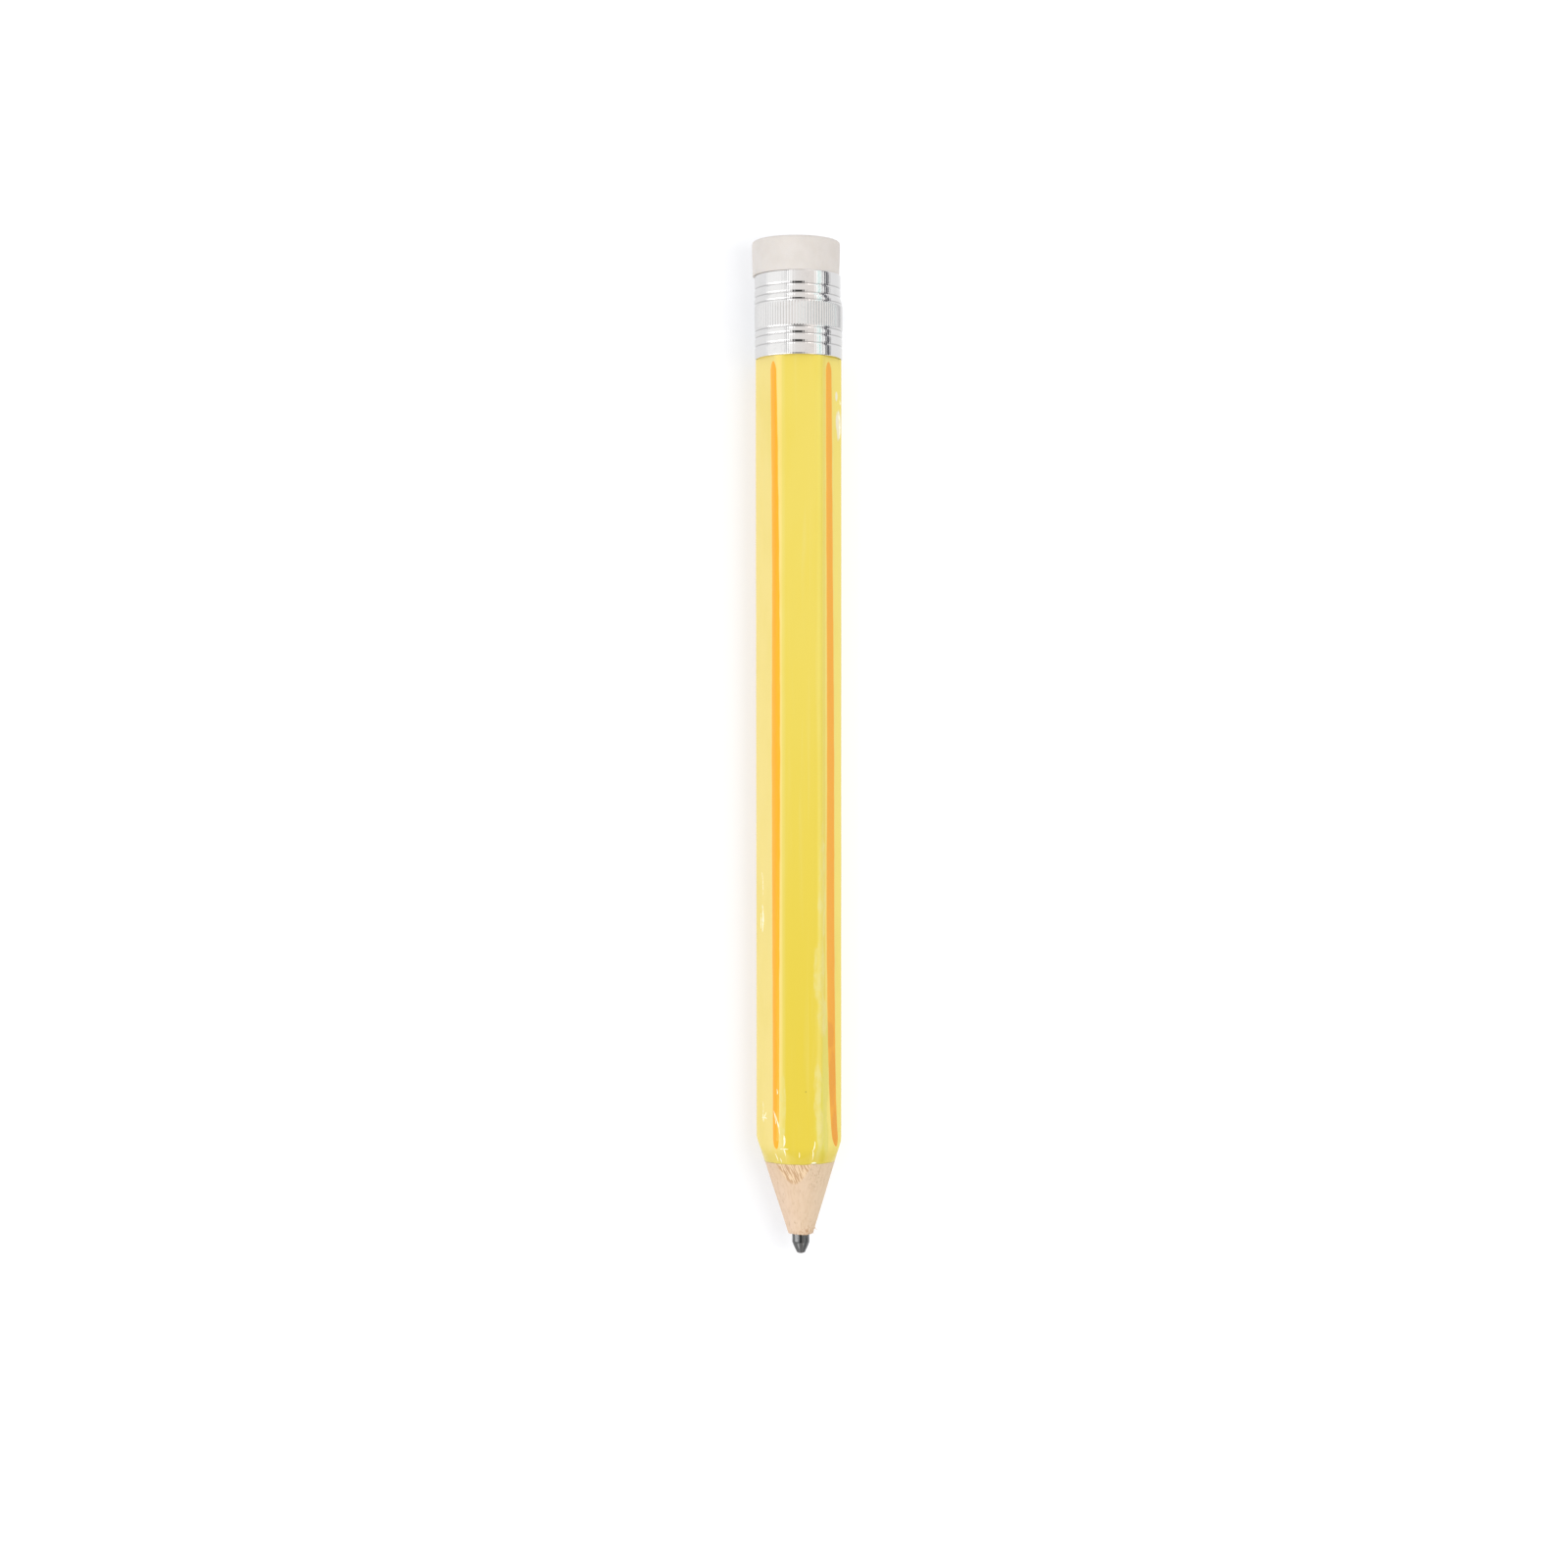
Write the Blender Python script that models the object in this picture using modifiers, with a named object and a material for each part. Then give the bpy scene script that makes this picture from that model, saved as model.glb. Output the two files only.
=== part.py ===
"""A giant novelty wooden pencil, lying flat.

Its length runs along Y, with the eraser at +Y and the point at -Y, and two flats of its hexagon
face up and down. Each piece is modelled upright on the Z axis with the point at the bottom, and an
empty lays the whole pencil down. The origin is under the middle of the pencil's length, at the
height of the eraser's lowest point.
"""

import math

import bmesh
import bpy
from mathutils import Matrix

# Driving dimensions, in metres.
TOTAL_LENGTH = 0.356
HEX_APOTHEM = 0.01334
HEX_EDGE_ROUNDING = 0.0026
FILM_THICKNESS = 0.0004
FIT_GAP = 0.0003

CORE_RADIUS = 0.003
CORE_TIP_RADIUS = 0.0014
CORE_EXPOSED = 0.007
CORE_TAPER_LENGTH = 0.0042
CORE_DOME_LENGTH = 0.0010

WOOD_END_RADIUS = 0.0041
CONE_SLOPE = 0.3145
BARE_CONE_LENGTH = 0.0256

FERRULE_LENGTH = 0.0293
FERRULE_BORE_RADIUS = 0.0145
FERRULE_TOP_RADIUS = 0.01515
FERRULE_BAND_RADIUS = 0.0155
FERRULE_SKIRT_RADIUS = 0.01535
GROOVE_WIDTH = 0.0009
GROOVE_DEPTH = 0.0003
TOP_GROOVES = (0.0044, 0.0073)
BAND_START = 0.0098
BAND_END = 0.0193
SKIRT_GROOVES = (0.0217, 0.0247)

ERASER_HEAD_LENGTH = 0.0124
ERASER_NECK_RADIUS = 0.01525
ERASER_RIM_RADIUS = 0.01555
ERASER_RIM_ROUNDING = 0.001
ERASER_PLUG_RADIUS = 0.0133
ERASER_PLUG_LENGTH = 0.0116
ERASER_OFFSET = -0.0009
TENON_RADIUS = 0.0140

# Stations along the pencil, worked out from the sizes above.
POINT = -TOTAL_LENGTH / 2
ERASER_END = TOTAL_LENGTH / 2
WOOD_END = POINT + CORE_EXPOSED
FILM_END = WOOD_END + BARE_CONE_LENGTH
FERRULE_TOP = ERASER_END - ERASER_HEAD_LENGTH
FERRULE_BOTTOM = FERRULE_TOP - FERRULE_LENGTH
PLUG_END = FERRULE_TOP - ERASER_PLUG_LENGTH
WOOD_TOP = PLUG_END - FIT_GAP

TURNED_STEPS = 48
ARC_STEPS = 4
CLEAR_RADIUS = 0.020
CLEAR_LENGTH = 0.010
AXIS_HEIGHT = ERASER_RIM_RADIUS


def clear_scene():
    for leftover in list(bpy.data.objects):
        bpy.data.objects.remove(leftover, do_unlink=True)


def new_collection(name):
    collection = bpy.data.collections.new(name)
    bpy.context.scene.collection.children.link(collection)
    return collection


def new_material(name, colour, roughness, metallic=0.0):
    material = bpy.data.materials.new(name)
    material.use_nodes = True
    shader = material.node_tree.nodes["Principled BSDF"]
    shader.inputs["Base Color"].default_value = (*colour, 1.0)
    shader.inputs["Roughness"].default_value = roughness
    shader.inputs["Metallic"].default_value = metallic
    return material


def new_object(name, mesh, collection, axis_empty):
    """An object whose upright shape is laid down with the empty."""
    obj = bpy.data.objects.new(name, mesh)
    obj.parent = axis_empty
    collection.objects.link(obj)
    return obj


def as_cutter(obj):
    obj.hide_render = True
    obj.display_type = "WIRE"
    return obj


def turned(name, outline, collection, axis_empty, ring=False):
    """A shape turned round the Z axis from its outline of (radius, station) points.

    The outline runs down the outer side. A ring's outline is joined back to its start.
    """
    mesh = bpy.data.meshes.new(name)
    points = [(radius, 0.0, station) for radius, station in outline]
    edges = [(i, i + 1) for i in range(len(points) - 1)]
    if ring:
        edges.append((len(points) - 1, 0))
    mesh.from_pydata(points, edges, [])
    obj = new_object(name, mesh, collection, axis_empty)
    screw = obj.modifiers.new("turn", "SCREW")
    screw.steps = TURNED_STEPS
    screw.render_steps = TURNED_STEPS
    screw.use_merge_vertices = True
    screw.merge_threshold = 0.00001
    screw.use_smooth_shade = True
    return obj


def hexagonal_bar(name, inset, collection, axis_empty):
    """The pencil's hexagon, moved in by the inset, with corners on the X axis and round long edges.

    It runs past both ends of every piece, which are cut from it.
    """
    apothem = HEX_APOTHEM - inset
    corner = apothem / math.cos(math.pi / 6)
    rounding = HEX_EDGE_ROUNDING - inset
    mesh = bpy.data.meshes.new(name)
    shape = bmesh.new()
    bmesh.ops.create_cone(
        shape,
        cap_ends=True,
        segments=6,
        radius1=corner,
        radius2=corner,
        depth=TOTAL_LENGTH + 2 * CLEAR_LENGTH,
    )
    first = max(shape.verts, key=lambda vert: vert.co.x).co
    bmesh.ops.rotate(
        shape,
        verts=shape.verts,
        matrix=Matrix.Rotation(-math.atan2(first.y, first.x), 3, "Z"),
    )
    long_edges = [e for e in shape.edges if abs(e.verts[0].co.z - e.verts[1].co.z) > apothem]
    bmesh.ops.bevel(
        shape,
        geom=long_edges,
        offset=rounding * math.tan(math.pi / 6),
        offset_type="OFFSET",
        segments=ARC_STEPS,
        profile=0.5,
        affect="EDGES",
    )
    shape.to_mesh(mesh)
    shape.free()
    return new_object(name, mesh, collection, axis_empty)


def boolean(obj, operation, other):
    modifier = obj.modifiers.new(f"{operation.lower()} {other.name}", "BOOLEAN")
    modifier.operation = operation
    modifier.object = other


def cone_radius(station, inset=0.0):
    """The sharpened cone's radius at a station, for a surface that lies the inset inside it."""
    return WOOD_END_RADIUS + CONE_SLOPE * (station - WOOD_END) - inset * math.hypot(1.0, CONE_SLOPE)


def cone_station(radius, inset=0.0):
    return WOOD_END + (radius + inset * math.hypot(1.0, CONE_SLOPE) - WOOD_END_RADIUS) / CONE_SLOPE


def arc(centre_radius, centre_station, radius, start, end):
    """Points on an arc in the outline's plane, from one angle to another, in degrees."""
    points = []
    for i in range(ARC_STEPS + 1):
        angle = math.radians(start + (end - start) * i / ARC_STEPS)
        points.append(
            (
                centre_radius + radius * math.cos(angle),
                centre_station + radius * math.sin(angle),
            )
        )
    return points


def make_eraser(parts, axis_empty):
    """A rubber head that flares to a rounded rim, and a plug that the ferrule holds.

    It is pressed in a little off the pencil's axis.
    """
    rim = arc(
        ERASER_RIM_RADIUS - ERASER_RIM_ROUNDING,
        ERASER_END - ERASER_RIM_ROUNDING,
        ERASER_RIM_ROUNDING,
        90,
        0,
    )
    shoulder = FERRULE_TOP + FIT_GAP
    outline = [
        (0.0, ERASER_END),
        *rim,
        (ERASER_NECK_RADIUS, shoulder),
        (ERASER_PLUG_RADIUS, shoulder),
        (ERASER_PLUG_RADIUS, PLUG_END),
        (0.0, PLUG_END),
    ]
    eraser = turned("eraser", outline, parts, axis_empty)
    eraser.location.x = ERASER_OFFSET
    return eraser


def groove(radius, depth_from_top):
    station = FERRULE_TOP - depth_from_top
    return [
        (radius, station + GROOVE_WIDTH / 2),
        (radius - GROOVE_DEPTH, station),
        (radius, station - GROOVE_WIDTH / 2),
    ]


def make_ferrule(parts, axis_empty):
    """A metal tube with rolled grooves above and below a raised middle band."""
    band_top = FERRULE_TOP - BAND_START
    band_bottom = FERRULE_TOP - BAND_END
    outline = [(FERRULE_BORE_RADIUS, FERRULE_TOP), (FERRULE_TOP_RADIUS, FERRULE_TOP)]
    for depth_from_top in TOP_GROOVES:
        outline += groove(FERRULE_TOP_RADIUS, depth_from_top)
    outline += [
        (FERRULE_TOP_RADIUS, band_top + GROOVE_WIDTH / 2),
        (FERRULE_TOP_RADIUS - GROOVE_DEPTH, band_top),
        (FERRULE_BAND_RADIUS, band_top - GROOVE_WIDTH / 2),
        (FERRULE_BAND_RADIUS, band_bottom + GROOVE_WIDTH / 2),
        (FERRULE_SKIRT_RADIUS - GROOVE_DEPTH, band_bottom),
        (FERRULE_SKIRT_RADIUS, band_bottom - GROOVE_WIDTH / 2),
    ]
    for depth_from_top in SKIRT_GROOVES:
        outline += groove(FERRULE_SKIRT_RADIUS, depth_from_top)
    outline += [(FERRULE_SKIRT_RADIUS, FERRULE_BOTTOM), (FERRULE_BORE_RADIUS, FERRULE_BOTTOM)]
    return turned("ferrule", outline, parts, axis_empty, ring=True)


def make_film_wrap(parts, cutters, axis_empty):
    """The printed film round the hexagon, which is drawn down over the start of the cone."""
    film_top = FERRULE_BOTTOM - FIT_GAP
    outer = as_cutter(
        turned(
            "film_outer_envelope",
            [
                (0.0, film_top),
                (CLEAR_RADIUS, film_top),
                (CLEAR_RADIUS, cone_station(CLEAR_RADIUS)),
                (cone_radius(FILM_END), FILM_END),
                (0.0, FILM_END),
            ],
            cutters,
            axis_empty,
        )
    )
    inner = as_cutter(
        turned(
            "film_inner_envelope",
            [
                (0.0, ERASER_END),
                (CLEAR_RADIUS, ERASER_END),
                (CLEAR_RADIUS, cone_station(CLEAR_RADIUS, FILM_THICKNESS)),
                (cone_radius(WOOD_END, FILM_THICKNESS), WOOD_END),
                (0.0, WOOD_END),
            ],
            cutters,
            axis_empty,
        )
    )
    inside = as_cutter(hexagonal_bar("film_inside", FILM_THICKNESS, cutters, axis_empty))
    boolean(inside, "INTERSECT", inner)
    film = hexagonal_bar("film_wrap", 0.0, parts, axis_empty)
    boolean(film, "INTERSECT", outer)
    boolean(film, "DIFFERENCE", inside)
    return film


def make_slats(parts, cutters, axis_empty):
    """Two grooved half hexagons glued round the core, turned down to a tenon inside the ferrule.

    The wood is set back under the film, and the bare cone comes out flush with the film's outside.
    """
    set_back = FILM_THICKNESS + FIT_GAP
    step = FILM_END - FIT_GAP
    envelope = as_cutter(
        turned(
            "wood_envelope",
            [
                (0.0, WOOD_TOP),
                (TENON_RADIUS, WOOD_TOP),
                (TENON_RADIUS, FERRULE_BOTTOM - FIT_GAP),
                (CLEAR_RADIUS, FERRULE_BOTTOM - FIT_GAP),
                (CLEAR_RADIUS, cone_station(CLEAR_RADIUS, set_back)),
                (cone_radius(step, set_back), step),
                (cone_radius(step), step),
                (WOOD_END_RADIUS, WOOD_END),
                (0.0, WOOD_END),
            ],
            cutters,
            axis_empty,
        )
    )
    groove_radius = CORE_RADIUS + FIT_GAP
    core_groove = as_cutter(
        turned(
            "core_groove",
            [
                (0.0, ERASER_END),
                (groove_radius, ERASER_END),
                (groove_radius, POINT),
                (0.0, POINT),
            ],
            cutters,
            axis_empty,
        )
    )
    slats = []
    # The empty turns the upright pencil's -Y side up.
    for name, facing in (("upper_slat", -1.0), ("lower_slat", 1.0)):
        other_half = as_cutter(half_block(f"{name}_other_half", -facing, cutters, axis_empty))
        slat = hexagonal_bar(name, set_back, parts, axis_empty)
        boolean(slat, "INTERSECT", envelope)
        boolean(slat, "DIFFERENCE", core_groove)
        boolean(slat, "DIFFERENCE", other_half)
        slats.append(slat)
    return slats


def half_block(name, side, cutters, axis_empty):
    """A block on one side of the glued joint, which reaches past it by half of the joint's gap."""
    width = 2 * CLEAR_RADIUS
    mesh = bpy.data.meshes.new(name)
    shape = bmesh.new()
    bmesh.ops.create_cube(shape, size=1.0)
    bmesh.ops.scale(shape, vec=(width, width, TOTAL_LENGTH + 4 * CLEAR_LENGTH), verts=shape.verts)
    bmesh.ops.translate(shape, vec=(0.0, side * (width - FIT_GAP) / 2, 0.0), verts=shape.verts)
    shape.to_mesh(mesh)
    shape.free()
    return new_object(name, mesh, cutters, axis_empty)


def make_core(parts, axis_empty):
    """The round graphite core, from the wood's top end to a blunt rounded point."""
    outline = [
        (0.0, WOOD_TOP),
        (CORE_RADIUS, WOOD_TOP),
        (CORE_RADIUS, POINT + CORE_TAPER_LENGTH),
        *tip_arc(),
    ]
    return turned("graphite_core", outline, parts, axis_empty)


def tip_arc():
    """A dome from the end of the core's taper to the axis."""
    radius = (CORE_TIP_RADIUS**2 + CORE_DOME_LENGTH**2) / (2 * CORE_DOME_LENGTH)
    half_angle = math.degrees(math.asin(CORE_TIP_RADIUS / radius))
    points = arc(0.0, POINT + radius, radius, half_angle - 90, -90)
    return [*points[:-1], (0.0, POINT)]


def main():
    clear_scene()
    parts = new_collection("giant_pencil")
    cutters = new_collection("cutters")

    axis_empty = bpy.data.objects.new("pencil_axis", None)
    axis_empty.location = (0.0, 0.0, AXIS_HEIGHT)
    axis_empty.rotation_euler = (-math.pi / 2, 0.0, 0.0)
    parts.objects.link(axis_empty)

    rubber = new_material("off_white_rubber", (0.76, 0.72, 0.67), 0.75)
    metal = new_material("bright_metal", (0.86, 0.86, 0.86), 0.15, metallic=1.0)
    film = new_material("yellow_film", (0.86, 0.69, 0.12), 0.15)
    wood = new_material("pale_wood", (0.82, 0.62, 0.45), 0.6)
    graphite = new_material("graphite", (0.06, 0.06, 0.065), 0.35)

    finished = [
        (make_eraser(parts, axis_empty), rubber),
        (make_ferrule(parts, axis_empty), metal),
        (make_film_wrap(parts, cutters, axis_empty), film),
        (make_core(parts, axis_empty), graphite),
    ]
    finished += [(slat, wood) for slat in make_slats(parts, cutters, axis_empty)]
    for obj, material in finished:
        obj.data.materials.append(material)
        obj.data.shade_smooth()
        obj.data.set_sharp_from_angle(angle=math.radians(35))


main()
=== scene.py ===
"""The looks of the giant wooden pencil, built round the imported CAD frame.

The pencil lies along Y with the eraser at +Y, so most shapes here are rings of points round its axis,
at stations along Y. An angle round the axis is measured from +X towards +Z.
"""

import math

import bmesh
import bpy
import numpy as np
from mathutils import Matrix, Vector, noise


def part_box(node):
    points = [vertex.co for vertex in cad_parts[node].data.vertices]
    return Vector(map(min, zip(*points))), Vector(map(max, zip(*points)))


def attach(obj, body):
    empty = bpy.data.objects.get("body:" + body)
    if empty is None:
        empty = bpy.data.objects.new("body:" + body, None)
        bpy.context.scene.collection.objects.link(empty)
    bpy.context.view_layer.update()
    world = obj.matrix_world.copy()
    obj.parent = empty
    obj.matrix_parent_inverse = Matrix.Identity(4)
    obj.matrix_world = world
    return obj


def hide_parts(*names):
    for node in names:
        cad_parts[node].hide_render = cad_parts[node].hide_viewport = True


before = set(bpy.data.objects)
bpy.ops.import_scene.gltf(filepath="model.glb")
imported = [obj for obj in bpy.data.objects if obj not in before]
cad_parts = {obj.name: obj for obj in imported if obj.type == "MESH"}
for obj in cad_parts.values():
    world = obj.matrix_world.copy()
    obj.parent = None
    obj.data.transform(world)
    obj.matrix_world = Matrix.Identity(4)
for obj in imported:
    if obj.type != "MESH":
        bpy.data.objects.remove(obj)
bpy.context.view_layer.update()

MM = 0.001

# Stations and radii that the CAD fixes.
FILM_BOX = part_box("film_wrap")
FERRULE_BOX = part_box("ferrule")
ERASER_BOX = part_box("eraser")
SLAT_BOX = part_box("upper_slat")
CORE_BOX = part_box("graphite_core")
AXIS_Z = (FILM_BOX[0][2] + FILM_BOX[1][2]) / 2
APOTHEM = (FILM_BOX[1][2] - FILM_BOX[0][2]) / 2
POINT = CORE_BOX[0][1]
WOOD_END = SLAT_BOX[0][1]
WOOD_TOP = SLAT_BOX[1][1]
FILM_END = FILM_BOX[0][1]
FERRULE_BOTTOM = FERRULE_BOX[0][1]
FERRULE_TOP = FERRULE_BOX[1][1]
ERASER_END = ERASER_BOX[1][1]
PLUG_END = ERASER_BOX[0][1]
ERASER_X = (ERASER_BOX[0][0] + ERASER_BOX[1][0]) / 2
ERASER_RADIUS = (ERASER_BOX[1][0] - ERASER_BOX[0][0]) / 2

# The ferrule's bore, which also holds the film's upper end.
FERRULE_BORE = 14.45 * MM

# The hexagon and the sharpened cone. The body widens towards the eraser, by this share in a metre.
EDGE_ROUNDING = 2.6 * MM
CONE_SOFTNESS = 0.25 * MM
CORNER_RADIUS = 15.0 * MM
BODY_TAPER = 0.05
WOOD_END_RADIUS = 4.4 * MM
CONE_SLOPE = 0.3145
CONE_START = WOOD_END + (CORNER_RADIUS - WOOD_END_RADIUS) / CONE_SLOPE
POINT_LEAN = 0.012
POINT_SHIFT = 0.2 * MM
CORE_RADIUS = 3.03 * MM


# ---------------------------------------------------------------- shapes


def value_noise(points, scale, shift=0.0):
    """Perlin noise, from -1 to 1, at points (n, 3) in metres. scale is in bumps a metre, one per axis."""
    scaled = points * np.asarray(scale, float) + shift
    return np.array([noise.noise(Vector(p)) for p in scaled])


def smoothstep(low, high, value):
    t = np.clip((value - low) / (high - low), 0.0, 1.0)
    return t * t * (3.0 - 2.0 * t)


def rounded_hexagon(angle, apothem, rounding):
    """The polar radius of a hexagon with flats up and down, corners on X and round edges."""
    sixth = math.pi / 3
    from_corner = np.abs((angle + sixth / 2) % sixth - sixth / 2)
    centre = (apothem - rounding) / math.cos(sixth / 2)
    tangent = np.arctan2(rounding / 2, centre + rounding * math.cos(sixth / 2))
    flat = apothem / np.cos(sixth / 2 - from_corner)
    reach = np.clip(rounding**2 - (centre * np.sin(from_corner)) ** 2, 0.0, None)
    rounded = centre * np.cos(from_corner) + np.sqrt(reach)
    return np.where(from_corner < tangent, rounded, flat)


def lean_at(station):
    """How far the point's axis has moved towards +X: the pencil is sharpened a little off centre."""
    shift = POINT_SHIFT * smoothstep(CONE_START + 20 * MM, CONE_START, station)
    return shift + POINT_LEAN * np.clip(CONE_START - station, 0.0, None)


def cone_surface(angle, station, inset=0.0):
    radius = WOOD_END_RADIUS + CONE_SLOPE * (station - WOOD_END) - inset
    shift = lean_at(station)
    return shift * np.cos(angle) + np.sqrt(np.clip(radius**2 - (shift * np.sin(angle)) ** 2, 1e-9, None))


def soft_min(a, b, width):
    h = np.clip(0.5 + 0.5 * (b - a) / width, 0.0, 1.0)
    return b * (1 - h) + a * h - width * h * (1 - h)


def body_surface(angle, station, inset=0.0):
    """The sharpened hexagon's polar radius, moved in by the inset."""
    taper = 1.0 + BODY_TAPER * station
    hexagon = rounded_hexagon(angle, APOTHEM * taper, EDGE_ROUNDING * taper) - inset
    return soft_min(hexagon, cone_surface(angle, station, inset), CONE_SOFTNESS)


def even_angles(count):
    return np.arange(count) / count * 2 * math.pi


def even_girth_angles(count):
    """Angles, starting at the bottom, that are evenly spaced along the hexagon's outline."""
    fine = np.linspace(-math.pi / 2, 1.5 * math.pi, 7201)
    radius = rounded_hexagon(fine, APOTHEM, EDGE_ROUNDING)
    steps = np.hypot(np.diff(radius * np.cos(fine)), np.diff(radius * np.sin(fine)))
    girth = np.concatenate([[0.0], np.cumsum(steps)])
    return np.interp(np.arange(count) / count * girth[-1], girth, fine)


def ring_points(angle, station, radius, centre_x=0.0):
    """Points on a ring round the axis. The arguments broadcast, and the result ends in (x, y, z)."""
    x = centre_x + radius * np.cos(angle)
    z = AXIS_Z + radius * np.sin(angle)
    x, y, z = np.broadcast_arrays(x, station, z)
    return np.stack([x, y, z], axis=-1)


def grid_faces(rows, columns, first=0):
    """Quads between rows of points. Rows run towards -Y and columns from +X towards +Z."""
    faces = []
    for row in range(rows - 1):
        for column in range(columns):
            following = (column + 1) % columns
            a = first + row * columns + column
            b = first + row * columns + following
            faces.append((a, b, b + columns, a + columns))
    return faces


def new_piece(name, points, faces, material, smooth_angle=40.0):
    mesh = bpy.data.meshes.new(name)
    mesh.from_pydata([tuple(p) for p in np.asarray(points).reshape(-1, 3)], [], faces)
    shape = bmesh.new()
    shape.from_mesh(mesh)
    bmesh.ops.recalc_face_normals(shape, faces=shape.faces)
    shape.to_mesh(mesh)
    shape.free()
    mesh.shade_smooth()
    mesh.set_sharp_from_angle(angle=math.radians(smooth_angle))
    mesh.materials.append(material)
    piece = bpy.data.objects.new(name, mesh)
    bpy.context.scene.collection.objects.link(piece)
    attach(piece, "root")
    return piece


def closed_tube(rings, first=0):
    """Points and faces of rings joined in order, with a flat cap on the first and the last.

    first is the number of points that the mesh already has.
    """
    rows, columns = rings.shape[:2]
    faces = grid_faces(rows, columns, first)
    last_row = first + (rows - 1) * columns
    faces.append(tuple(range(first, first + columns)))
    faces.append(tuple(range(last_row, last_row + columns))[::-1])
    return rings.reshape(-1, 3), faces


# ---------------------------------------------------------------- material helpers


def new_material(name):
    """A material, its empty node tree, and the place on the object that its nodes start from."""
    material = bpy.data.materials.new(name)
    material.use_nodes = True
    tree = material.node_tree
    tree.nodes.clear()
    return material, tree, add(tree, "ShaderNodeTexCoord").outputs["Object"]


def add(tree, kind, inputs=None, **settings):
    """A node with its settings and inputs. An input is a value or another node's output socket."""
    made = tree.nodes.new(kind)
    for key, value in settings.items():
        setattr(made, key, value)
    for key, value in (inputs or {}).items():
        if isinstance(value, bpy.types.NodeSocket):
            tree.links.new(value, made.inputs[key])
        else:
            made.inputs[key].default_value = value
    return made


def maths(tree, operation, a, b=0.0, c=0.0):
    return add(tree, "ShaderNodeMath", {0: a, 1: b, 2: c}, operation=operation).outputs[0]


def fade(tree, value, low, high, out_low=0.0, out_high=1.0, curve="SMOOTHSTEP"):
    """Maps low..high to out_low..out_high, smoothly unless the curve says LINEAR."""
    made = add(
        tree,
        "ShaderNodeMapRange",
        {"Value": value, "From Min": low, "From Max": high, "To Min": out_low, "To Max": out_high},
        interpolation_type=curve,
    )
    return made.outputs["Result"]


def fade_linear(tree, value, low, high, out_low=0.0, out_high=1.0):
    return fade(tree, value, low, high, out_low, out_high, "LINEAR")


def by_steps(tree, share, values, spread):
    """A value drawn as a smooth curve through even steps, as the share goes from 0 to 1."""
    line = add(tree, "ShaderNodeFloatCurve", {"Factor": 1.0, "Value": share})
    low = min(values)
    curve = line.mapping.curves[0]
    curve.points[0].location = (0.0, (values[0] - low) / spread)
    curve.points[1].location = (1.0, (values[-1] - low) / spread)
    for i, value in enumerate(values[1:-1], 1):
        curve.points.new(i / (len(values) - 1), (value - low) / spread)
    line.mapping.update()
    return maths(tree, "MULTIPLY_ADD", line.outputs[0], spread, low)


def mix(tree, factor, a, b):
    made = add(tree, "ShaderNodeMix", data_type="RGBA")
    for socket, value in (("Factor_Float", factor), ("A_Color", a), ("B_Color", b)):
        target = next(s for s in made.inputs if s.identifier == socket)
        if isinstance(value, bpy.types.NodeSocket):
            tree.links.new(value, target)
        else:
            target.default_value = value if socket == "Factor_Float" else (*value, 1.0)
    return next(s for s in made.outputs if s.identifier == "Result_Color")


def axes(tree, position):
    """The sockets X, Y and Z of a position."""
    return add(tree, "ShaderNodeSeparateXYZ", {0: position}).outputs


def cloud(tree, vector, scale=1.0, detail=3.0, roughness=0.5, distortion=0.0):
    made = add(
        tree,
        "ShaderNodeTexNoise",
        {
            "Vector": vector,
            "Scale": scale,
            "Detail": detail,
            "Roughness": roughness,
            "Distortion": distortion,
        },
    )
    return made.outputs["Fac"]


def drawn_cloud(tree, position, stretch, *settings):
    """Noise that is drawn out: stretch is its scale on each axis, in bumps a metre."""
    mapping = add(tree, "ShaderNodeMapping", {"Vector": position, "Scale": stretch})
    return cloud(tree, mapping.outputs["Vector"], 1.0, *settings)


def attribute(tree, name):
    """A value that the mesh holds at each of its points."""
    made = add(tree, "ShaderNodeAttribute", attribute_name=name, attribute_type="GEOMETRY")
    return made.outputs["Fac"]


def ellipse_square(tree, values, middle, half_sizes):
    """The squared distance from an ellipse's middle, which is 1 on its outline."""
    parts = []
    for value, centre, half in zip(values, middle, half_sizes):
        share = maths(tree, "MULTIPLY_ADD", value, 1 / half, -centre / half)
        parts.append(maths(tree, "MULTIPLY", share, share))
    return maths(tree, "ADD", *parts)


def bump(tree, height, strength, distance):
    made = add(tree, "ShaderNodeBump", {"Height": height, "Strength": strength, "Distance": distance})
    return made.outputs["Normal"]


def principled(tree, colour, roughness, others):
    """The surface. The others are named as on the shader."""
    inputs = {"Base Color": colour, "Roughness": roughness, **others}
    shader = add(tree, "ShaderNodeBsdfPrincipled", inputs)
    output = add(tree, "ShaderNodeOutputMaterial")
    tree.links.new(shader.outputs[0], output.inputs["Surface"])


# ---------------------------------------------------------------- materials

YELLOW_TOP = (0.660, 0.534, 0.093)
YELLOW_TIP = (0.645, 0.505, 0.056)
# The next three yellows are paler ones for the left face, the right face and the right rounded edge:
# painted reflection.
YELLOW_LEFT_SHEEN = (0.735, 0.592, 0.181)
YELLOW_RIGHT_SHEEN = (0.735, 0.605, 0.121)
YELLOW_EDGE_SHEEN = (0.682, 0.568, 0.104)
YELLOW_GREEN = (0.630, 0.560, 0.092)
YELLOW_MILKY = (0.670, 0.585, 0.192)
# A darker yellow for painted shade near the film's lower edge.
YELLOW_SHADE = (0.575, 0.450, 0.052)
ORANGE = (0.82, 0.366, 0.006)
ORANGE_DEEP = (0.72, 0.30, 0.002)

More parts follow.
